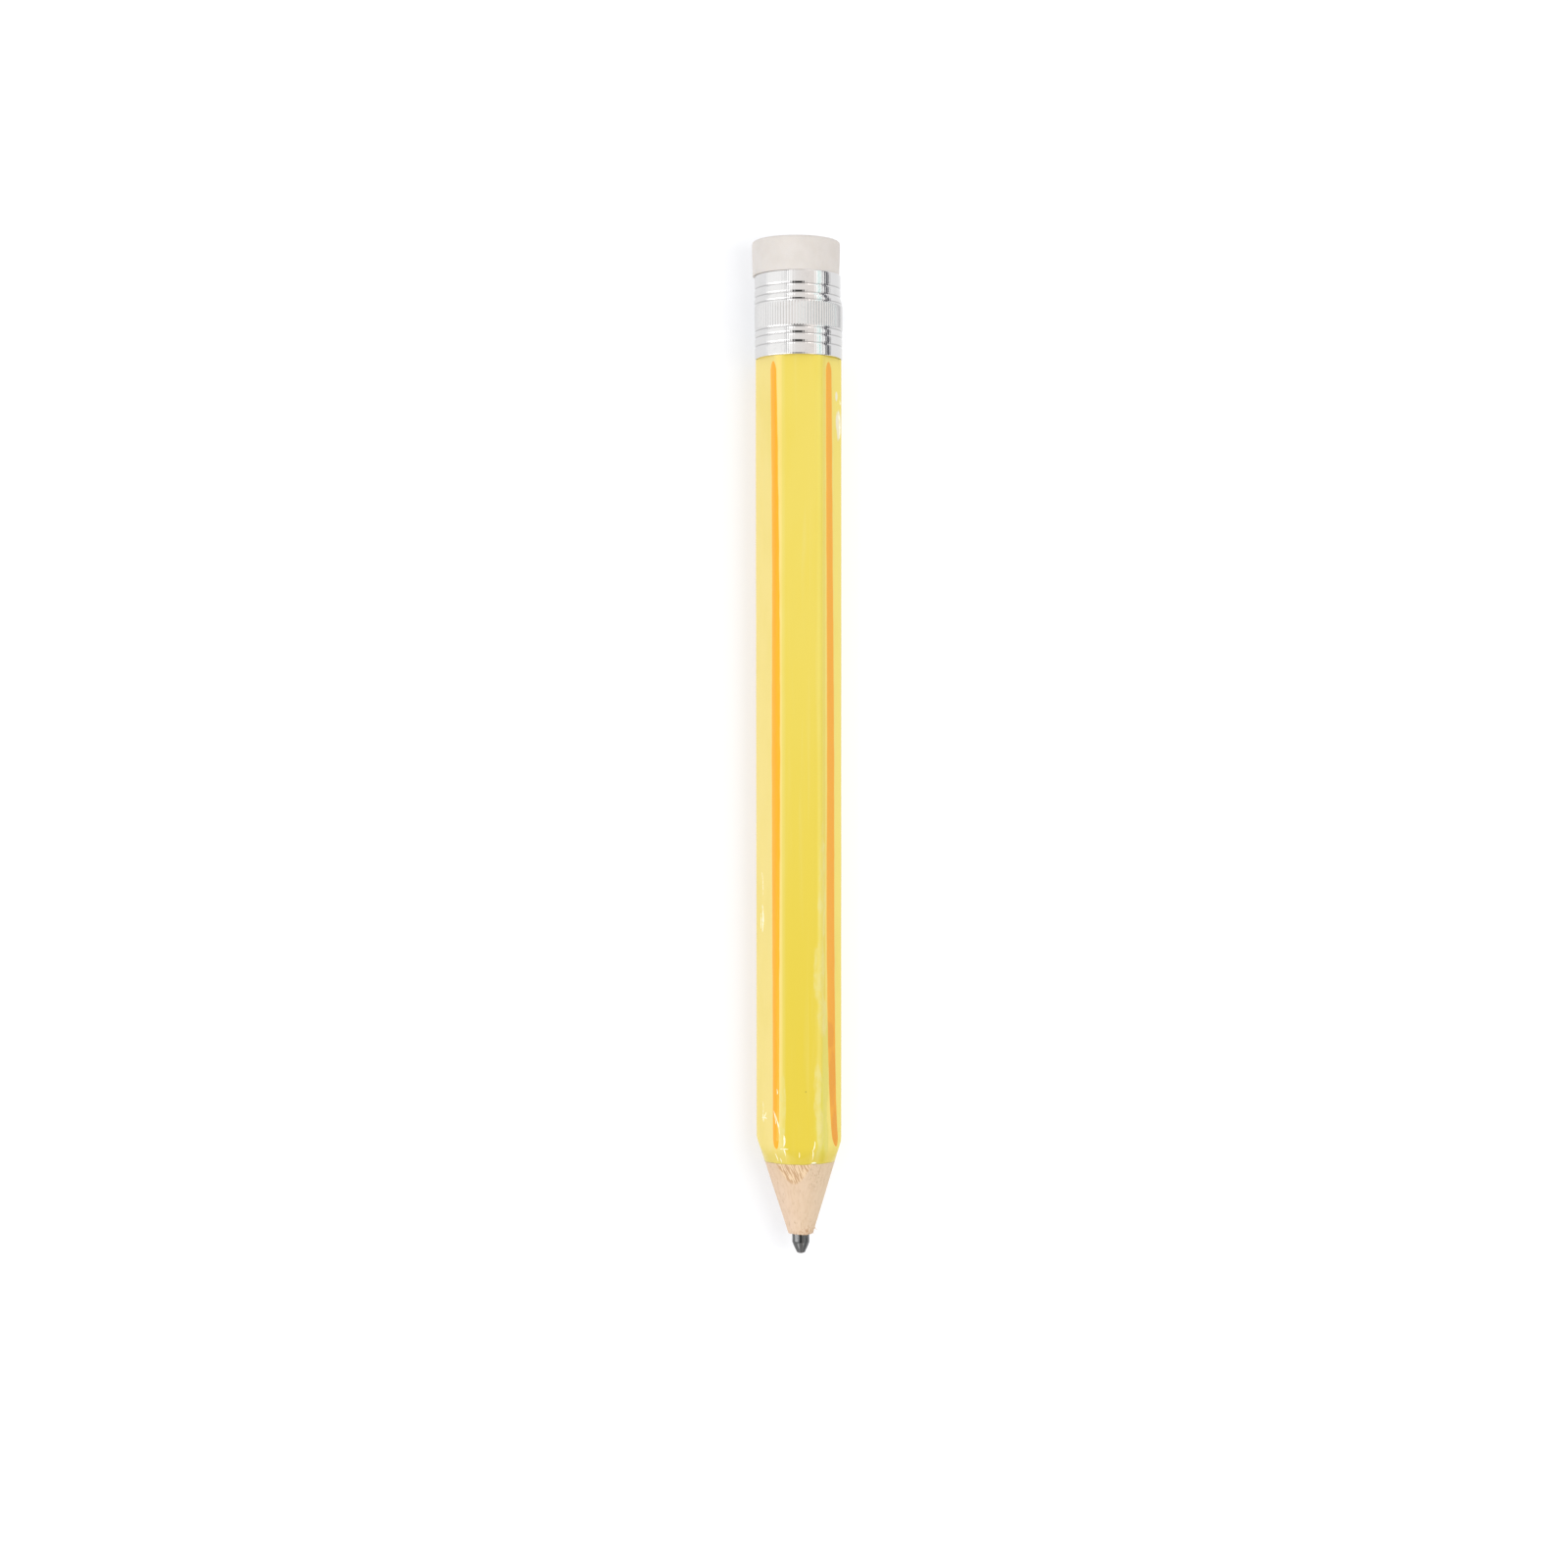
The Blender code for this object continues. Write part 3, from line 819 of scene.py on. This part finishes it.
def make_eraser(material):
    """A flared rubber head with a rounded rim, and its plug inside the ferrule."""
    columns = 176
    angle = even_angles(columns)
    end = ERASER_END - 0.3 * MM
    head = end - FERRULE_TOP
    profile = [(share * (ERASER_RADIUS - RIM_ROUNDING), 0.0) for share in np.linspace(0.004, 1.0, 22)[:-1]]
    for turn in np.linspace(0.0, math.pi / 2, 9):
        profile.append(
            (
                ERASER_RADIUS - RIM_ROUNDING + RIM_ROUNDING * math.sin(turn),
                RIM_ROUNDING * (1 - math.cos(turn)),
            )
        )
    neck = ERASER_RADIUS - 0.3 * MM
    for share in np.linspace(0.0, 1.0, 22)[1:]:
        flare = ERASER_RADIUS + (neck - ERASER_RADIUS) * smoothstep(0.0, 1.0, share)
        profile.append((flare, RIM_ROUNDING + share * (head - RIM_ROUNDING - 0.05 * MM)))
    profile.append((neck - 0.25 * MM, head + 0.02 * MM))
    profile.append((PLUG_RADIUS, head + 0.05 * MM))
    profile.append((PLUG_RADIUS, end - PLUG_END - 0.5 * MM))
    profile.append((PLUG_TIP_RADIUS, end - PLUG_END))
    radius = np.array([p[0] for p in profile])[:, None]
    depth = np.array([p[1] for p in profile])[:, None]
    rings = ring_points(angle, end - depth, np.repeat(radius, columns, axis=1), ERASER_X)
    flat = rings.reshape(-1, 3)
    outward = flat - np.array([ERASER_X, end - head / 2, AXIS_Z])
    outward /= np.linalg.norm(outward, axis=1)[:, None]
    shown = smoothstep(head, head - 1.0 * MM, np.repeat(depth, columns, axis=1)).reshape(-1)
    relief = value_noise(flat, 110.0, 2.2) * 0.06 * MM + value_noise(flat, 520.0, 5.5) * 0.018 * MM
    from_top = np.tile(90.0 - np.degrees(angle), len(profile))
    below = np.repeat(depth, columns, axis=1).reshape(-1)
    at_side = smoothstep(0.8, 0.98, np.repeat(radius, columns, axis=1).reshape(-1) / ERASER_RADIUS)
    for chip_angle, chip_depth, size, bite in CHIPS:
        across = ((from_top - chip_angle + 180) % 360 - 180) * math.radians(1) * ERASER_RADIUS
        distance = np.hypot(across, (below - chip_depth) * 1.3)
        relief = relief - at_side * bite * np.exp(-((distance / (size * 0.6)) ** 2))
    flat = flat + outward * (np.minimum(relief - 0.03 * MM, 0.0) * shown)[:, None]
    points, faces = closed_tube(flat.reshape(rings.shape))
    piece = new_piece("eraser_rubber", points, faces, material)
    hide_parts("eraser")


# ---------------------------------------------------------------- the wooden slats

SLAT_COLUMNS = 240
GLUE_LINE = 0.02 * MM
CORE_GROOVE = 3.1 * MM
BARE_INSET = 0.11 * MM
UNDER_FILM = 0.45 * MM
TENON_RADIUS = 13.9 * MM
FIBRE_SLANT = 0.42
GROOVE_STEPS = 22
LONG_ROWS_START = -120.0 * MM

# The torn patch: its middle and half-width in degrees from the top towards +X, and its length.
TORN_MIDDLE = -10.0
TORN_HALF_WIDTH = 31.0
TORN_LENGTH = 6.8 * MM


def torn_share(from_top, station):
    """1 inside the tongue of torn grain below the film's edge, on the upper slat."""
    across = (from_top - TORN_MIDDLE) / TORN_HALF_WIDTH
    reach = TORN_LENGTH * (1.0 - across**2) + 0.4 * MM
    inside = smoothstep(-0.5 * MM, 0.7 * MM, reach - (FILM_END - station))
    return inside * smoothstep(1.15, 0.9, np.abs(across))


def make_slat(name, node, upper, material):
    """Half of the casing, from the ragged end at the core to the tenon in the ferrule."""
    turn = np.linspace(0.0, math.pi, SLAT_COLUMNS)
    angle = turn if upper else turn + math.pi
    bare_rows = np.linspace(0.0, 1.0, 104)
    under = np.concatenate(
        [
            [FILM_END + 0.15 * MM],
            np.linspace(FILM_END + 0.8 * MM, CONE_START + 1.0 * MM, 12),
            np.linspace(LONG_ROWS_START, FERRULE_BOTTOM - 0.2 * MM, 12),
            [FERRULE_BOTTOM + 0.2 * MM, WOOD_TOP - 0.4 * MM, WOOD_TOP],
        ]
    )
    rim = ring_points(angle, WOOD_END, WOOD_END_RADIUS).reshape(-1, 3)
    ragged = value_noise(rim, 900.0, 4.0) * 0.28 * MM + value_noise(rim, 300.0, 9.0) * 0.2 * MM
    bare_top = FILM_END - 0.05 * MM
    bare = WOOD_END + 0.15 * MM + (1 - bare_rows[:, None]) ** 3 * ragged[None, :]
    bare = bare + bare_rows[:, None] * (bare_top - WOOD_END - 0.15 * MM)
    station = np.concatenate([bare, np.repeat(under[:, None], SLAT_COLUMNS, axis=1)])
    angle = np.broadcast_to(angle, station.shape)
    inset = np.where(station <= bare_top + 1e-6, BARE_INSET, UNDER_FILM)
    radius = body_surface(angle, station, inset)
    radius = np.where(station > FERRULE_BOTTOM, np.minimum(radius, TENON_RADIUS), radius)
    points = ring_points(angle, station, radius).reshape(-1, 3)
    grain = value_noise(points, (1500.0, 110.0, 1500.0), 6.0) * 0.035 * MM
    grain += value_noise(points, (300.0, 60.0, 300.0), 8.0) * 0.05 * MM
    fade_in = (station <= bare_top + 1e-6) * smoothstep(WOOD_END, WOOD_END + 2 * MM, station)
    relief = grain.reshape(radius.shape) * (0.35 + 0.65 * fade_in)
    torn = torn_share(90.0 - np.degrees(angle), station) * (station <= bare_top + 1e-6)
    if not upper:
        torn = torn * 0.0
    slanted = points.copy()
    slanted[:, 0] += FIBRE_SLANT * points[:, 1]
    slanted[:, 2] = 0.0
    fibres = value_noise(slanted, (2500.0, 420.0, 0.0), 2.5)
    fibres += 0.6 * value_noise(slanted, (4200.0, 700.0, 0.0), 1.5)
    fibres = np.clip(0.5 + 0.6 * fibres.reshape(radius.shape), 0.0, 1.0)
    relief = relief + torn * (fibres - 0.75) * 0.24 * MM
    relief = np.minimum(relief, 0.09 * MM)
    outer = ring_points(angle, station, radius + relief)
    side = 1.0 if upper else -1.0
    groove_turn = np.linspace(math.pi, 0.0, GROOVE_STEPS)
    groove_x = lean_at(station[:, :1]) + CORE_GROOVE * np.cos(groove_turn)[None, :] * side
    groove_z = AXIS_Z + CORE_GROOVE * np.sin(groove_turn)[None, :] * side
    middle = SLAT_COLUMNS // 2
    groove_y = np.repeat(station[:, middle : middle + 1], GROOVE_STEPS, axis=1)
    groove_y[:, 0] = station[:, -1]
    groove_y[:, -1] = station[:, 0]
    groove = np.stack([groove_x, groove_y, np.broadcast_to(groove_z, groove_x.shape)], axis=-1)
    rings = np.concatenate([outer, groove], axis=1)
    rings[..., 2] = AXIS_Z + side * np.maximum(side * (rings[..., 2] - AXIS_Z), GLUE_LINE)
    points, faces = closed_tube(rings)
    piece = new_piece(name, points, faces, material, 35.0)
    for mark, shown in (("torn", torn), ("fibre", fibres)):
        values = np.zeros(rings.shape[:2])
        values[:, :SLAT_COLUMNS] = shown
        piece.data.attributes.new(mark, "FLOAT", "POINT").data.foreach_set("value", values.reshape(-1))
    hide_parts(node)


# ---------------------------------------------------------------- loose fibres at the wood's end

# Degrees from the top towards +X, height above the wood's end, length, thickness and curl outwards.
SPLINTERS = (
    (84, 2.3 * MM, 1.5 * MM, 0.42 * MM, 1.00),
    (62, 1.5 * MM, 1.6 * MM, 0.20 * MM, 0.55),
    (71, 0.9 * MM, 1.3 * MM, 0.14 * MM, 0.75),
    (52, 0.5 * MM, 1.0 * MM, 0.15 * MM, 0.35),
    (34, 0.3 * MM, 0.8 * MM, 0.12 * MM, 0.30),
    (12, 0.3 * MM, 0.7 * MM, 0.12 * MM, 0.20),
    (-20, 0.3 * MM, 0.6 * MM, 0.11 * MM, 0.22),
    (120, 0.6 * MM, 1.0 * MM, 0.13 * MM, 0.45),
    (-150, 0.5 * MM, 0.9 * MM, 0.13 * MM, 0.35),
)


def make_splinters(material):
    """Short frayed fibres that the sharpening left round the core."""
    points, faces = [], []
    sides, steps = 6, 6
    for from_top, height, length, thickness, curl in SPLINTERS:
        angle = math.radians(90.0 - from_top)
        station = WOOD_END + height
        radius = float(cone_surface(np.array(angle), np.array(station), BARE_INSET + 0.06 * MM))
        out = Vector((math.cos(angle), 0.0, math.sin(angle)))
        along = Vector((0.0, -1.0, 0.0))
        across = out.cross(along)
        root = Vector((0.0, station, AXIS_Z)) + out * radius
        rings = np.zeros((steps, sides, 3))
        for step in range(steps):
            share = step / (steps - 1)
            centre = root + along * (length * share * 0.85) + out * (length * curl * share**2)
            centre -= out * (CONE_SLOPE * length * share * 0.4)
            width = thickness * (1.0 - share) ** 0.7 + 0.012 * MM
            for side in range(sides):
                turn = side / sides * 2 * math.pi
                offset = out * (width * 0.5 * math.cos(turn)) + across * (width * math.sin(turn))
                rings[step, side] = centre + offset
        tube_points, tube_faces = closed_tube(rings, len(points))
        points += list(tube_points)
        faces += tube_faces
    new_piece("wood_splinters", np.array(points), faces, material)


# ---------------------------------------------------------------- the graphite core

TAPER_START = POINT + 4.0 * MM
TIP_RADIUS = 1.66 * MM
TIP_LENGTH = 0.85 * MM


def make_core(material):
    """The core: straight inside the wood, then a stub and a blunt turned taper."""
    columns = 96
    angle = even_angles(columns)
    profile = [(CORE_RADIUS - 0.1 * MM, WOOD_TOP), (CORE_RADIUS, WOOD_TOP - 0.1 * MM)]
    profile += [(CORE_RADIUS, y) for y in np.linspace(CONE_START, WOOD_END + 1.0 * MM, 8)]
    profile += [(CORE_RADIUS, y) for y in np.linspace(WOOD_END, TAPER_START + 0.25 * MM, 10)]
    for share in np.linspace(0.0, 1.0, 14):
        line = CORE_RADIUS + (TIP_RADIUS - CORE_RADIUS) * share
        bulge = 0.10 * MM * math.sin(math.pi * share)
        station = TAPER_START - share * (TAPER_START - POINT - TIP_LENGTH)
        profile.append((line + bulge - 0.03 * MM, station))
    for turn in np.linspace(0.0, math.pi / 2, 12)[1:-1]:
        station = POINT + TIP_LENGTH * (1 - math.sin(turn))
        profile.append((TIP_RADIUS * math.cos(turn) - 0.02 * MM, station))
    profile.append((0.05 * MM, POINT))
    radius = np.array([p[0] for p in profile])[:, None]
    station = np.array([p[1] for p in profile])[:, None]
    rings = ring_points(angle, station, np.repeat(radius, columns, axis=1), lean_at(station))
    flat = rings.reshape(-1, 3)
    marks = value_noise(flat, (150.0, 1500.0, 150.0), 3.0) * 0.012 * MM
    marks += value_noise(flat, 450.0, 1.0) * 0.015 * MM
    shown = smoothstep(WOOD_END + 1.0 * MM, WOOD_END, flat[:, 1])
    shown *= smoothstep(POINT, POINT + 0.3 * MM, flat[:, 1])
    centre = np.stack([lean_at(flat[:, 1]), flat[:, 1], np.full(len(flat), AXIS_Z)], axis=1)
    outward = flat - centre
    outward /= np.maximum(np.linalg.norm(outward, axis=1)[:, None], 1e-9)
    flat = flat + outward * (marks * shown)[:, None]
    points, faces = closed_tube(flat.reshape(rings.shape))
    piece = new_piece("graphite_core_rod", points, faces, material, 35.0)
    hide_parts("graphite_core")


# ---------------------------------------------------------------- the set

CAMERA_HEIGHT = 1.05
CAMERA_X = -0.0052
CAMERA_Y = -0.0161
CAMERA_PITCH = math.radians(0.17)
CAMERA_ROLL = math.radians(-0.03)
SENSOR_WIDTH = 36.0
LENS = 68.5
FLOOR_SIZE = 8.0


def make_camera():
    """Straight above the pencil, with the eraser at the top of the picture."""
    data = bpy.data.cameras.new("camera")
    data.sensor_width = SENSOR_WIDTH
    data.lens = LENS
    data.clip_start = 0.05
    data.clip_end = 50.0
    camera = bpy.data.objects.new("camera", data)
    camera.location = (CAMERA_X, CAMERA_Y, AXIS_Z + CAMERA_HEIGHT)
    camera.rotation_euler = (CAMERA_PITCH, 0.0, CAMERA_ROLL)
    bpy.context.scene.collection.objects.link(camera)
    bpy.context.scene.camera = camera


def make_floor():
    """A pale tabletop. It leans so that the pencil rests on its eraser's rim and its lower flat."""
    material, tree, position = new_material("pale_tabletop")
    tone = cloud(tree, position, 3.0, 2.0)
    colour = mix(tree, tone, (0.51, 0.51, 0.51), (0.49, 0.49, 0.495))
    others = {
        "Specular IOR Level": 0.1,
        "Emission Color": (0.955, 0.965, 1.0, 1.0),
        "Emission Strength": 0.435,
    }
    principled(tree, colour, 0.9, others)
    mesh = bpy.data.meshes.new("tabletop")
    half = FLOOR_SIZE / 2
    corners = [(-half, -half, 0), (half, -half, 0), (half, half, 0), (-half, half, 0)]
    mesh.from_pydata(corners, [], [(0, 1, 2, 3)])
    mesh.materials.append(material)
    floor = bpy.data.objects.new("tabletop", mesh)
    rest_station = WOOD_END + (APOTHEM - WOOD_END_RADIUS) / CONE_SLOPE
    rest_height = AXIS_Z - APOTHEM - 0.1 * MM
    slope = math.atan2(rest_height, ERASER_END - rest_station)
    floor.rotation_euler = (-slope, 0.0, 0.0)
    floor.location = (0.0, 0.0, math.tan(slope) * ERASER_END - 0.05 * MM)
    bpy.context.scene.collection.objects.link(floor)


def make_area_light(name, location, target, size, power):
    data = bpy.data.lights.new(name, "AREA")
    data.shape = "RECTANGLE"
    data.size, data.size_y = size
    data.energy = power
    light = bpy.data.objects.new(name, data)
    light.location = location
    light.rotation_euler = (Vector(target) - Vector(location)).to_track_quat("-Z", "Y").to_euler()
    light.visible_camera = False
    bpy.context.scene.collection.objects.link(light)
    return light


# The studio round the pencil: the angle from straight up towards +X, in degrees, and the colour there.
STUDIO = (
    (-180, (1.10, 1.10, 1.10)),
    (-92, (1.10, 1.10, 1.10)),
    (-88, (1.30, 1.30, 1.30)),
    (-37, (1.30, 1.30, 1.30)),
    (-36, (0.60, 0.60, 0.62)),
    (-33, (0.60, 0.60, 0.62)),
    (-31, (1.45, 1.45, 1.45)),
    (-20, (1.45, 1.45, 1.45)),
    (-16, (1.15, 1.13, 1.12)),
    (12, (1.10, 1.05, 1.02)),
    (47, (1.10, 1.03, 0.99)),
    (50, (1.60, 1.60, 1.60)),
    (55, (1.60, 1.60, 1.60)),
    (56, (0.60, 1.05, 1.00)),
    (59, (0.60, 1.05, 1.00)),
    (60, (1.60, 1.60, 1.60)),
    (65, (1.60, 1.60, 1.60)),
    (66, (0.50, 0.50, 0.50)),
    (68, (0.50, 0.50, 0.50)),
    (69, (1.60, 1.60, 1.60)),
    (73, (1.60, 1.60, 1.60)),
    (75, (0.15, 0.15, 0.17)),
    (91, (0.15, 0.15, 0.17)),
    (93, (1.10, 1.10, 1.10)),
    (180, (1.10, 1.10, 1.10)),
)
STUDIO_PEAK = 3.0

# Small bright lamps that only glints show: the angle towards +X, the angle towards +Y, the half-widths
# both ways and the level, all angles in degrees.
LAMPS = (
    (-45, -48, 20, 12, 6.0),
    (42, -42, 8, 8, 7.0),
    (-24, 38, 7, 7, 4.0),
    (34, 42, 7, 7, 4.0),
    (-56, -9, 37, 3.5, 9.0),
)
SOFT_LEVEL = 0.80


def make_studio():
    """White walls, soft boxes and a dark gap. The camera itself sees a plain pale background."""
    world = bpy.data.worlds.new("studio")
    world.use_nodes = True
    tree = world.node_tree
    tree.nodes.clear()
    direction = add(tree, "ShaderNodeTexCoord").outputs["Generated"]
    parts = axes(tree, direction)
    angle = maths(tree, "ARCTAN2", parts["X"], parts["Z"])
    place = maths(tree, "MULTIPLY_ADD", angle, 0.5 / math.pi, 0.5)
    ramp = add(tree, "ShaderNodeValToRGB", {"Fac": place})
    stops = ramp.color_ramp.elements
    stops.remove(stops[-1])
    for i, (degrees, colour) in enumerate(STUDIO):
        at = degrees / 360 + 0.5
        stop = stops.new(at) if i else stops[0]
        stop.position = at
        stop.color = (*(part / STUDIO_PEAK for part in colour), 1.0)
    side = maths(tree, "ABSOLUTE", maths(tree, "ADD", angle, math.radians(1.0)))
    overhead = fade(tree, side, math.radians(19.0), math.radians(14.0))
    near = fade(tree, parts["Y"], math.sin(math.radians(5.0)), math.sin(math.radians(-5.0)))
    far = fade(tree, parts["Y"], math.sin(math.radians(-40.0)), math.sin(math.radians(-25.0)))
    stand = maths(tree, "MULTIPLY", overhead, maths(tree, "MULTIPLY", near, far))
    level = maths(tree, "MULTIPLY_ADD", stand, -0.94 * STUDIO_PEAK, STUDIO_PEAK)
    rise = maths(tree, "ARCSINE", parts["Y"])
    for side_angle, end_angle, half_side, half_end, lamp_level in LAMPS:
        middle = (math.radians(side_angle), math.radians(end_angle))
        sizes = (math.radians(half_side), math.radians(half_end))
        square = ellipse_square(tree, (angle, rise), middle, sizes)
        level = maths(tree, "ADD", level, fade(tree, square, 1.0, 0.4, 0.0, lamp_level))
    path = add(tree, "ShaderNodeLightPath").outputs
    mirrored = add(tree, "ShaderNodeBackground", {"Strength": level, "Color": ramp.outputs["Color"]})
    soft = add(tree, "ShaderNodeBackground", {"Strength": SOFT_LEVEL, "Color": (1.0, 1.0, 1.0, 1.0)})
    plain = add(tree, "ShaderNodeBackground", {"Strength": 1.0, "Color": (0.84, 0.845, 0.85, 1.0)})
    lit = {0: path["Is Glossy Ray"], 1: soft.outputs[0], 2: mirrored.outputs[0]}
    light = add(tree, "ShaderNodeMixShader", lit)
    seen = {0: path["Is Camera Ray"], 1: light.outputs[0], 2: plain.outputs[0]}
    choice = add(tree, "ShaderNodeMixShader", seen)
    output = add(tree, "ShaderNodeOutputWorld")
    tree.links.new(choice.outputs[0], output.inputs["Surface"])
    bpy.context.scene.world = world


def make_lights():
    """A key on the right that casts the soft shadow, and a fill on the left that casts none."""
    key = make_area_light("key_softbox", (0.64, 0.0, 1.17), (0.0, 0.0, 0.0), (0.40, 0.8), 7.0)
    fill = make_area_light("fill_softbox", (-1.05, 0.0, 0.88), (0.0, 0.0, 0.0), (0.6, 1.3), 8.3)
    key.data.color = (1.0, 0.985, 0.96)
    fill.data.color = (0.965, 0.985, 1.0)
    fill.data.use_shadow = False
    for light in (key, fill):
        light.visible_glossy = False


# ---------------------------------------------------------------- build

make_film()
make_creases()
wood = wood_material()
make_slat("upper_slat_wood", "upper_slat", True, wood)
make_slat("lower_slat_wood", "lower_slat", False, wood)
make_splinters(wood)
make_core(graphite_material())
make_ferrule(ferrule_material())
make_eraser(eraser_material())
make_floor()
make_studio()
make_lights()
make_camera()
bpy.context.scene.view_settings.view_transform = "Standard"
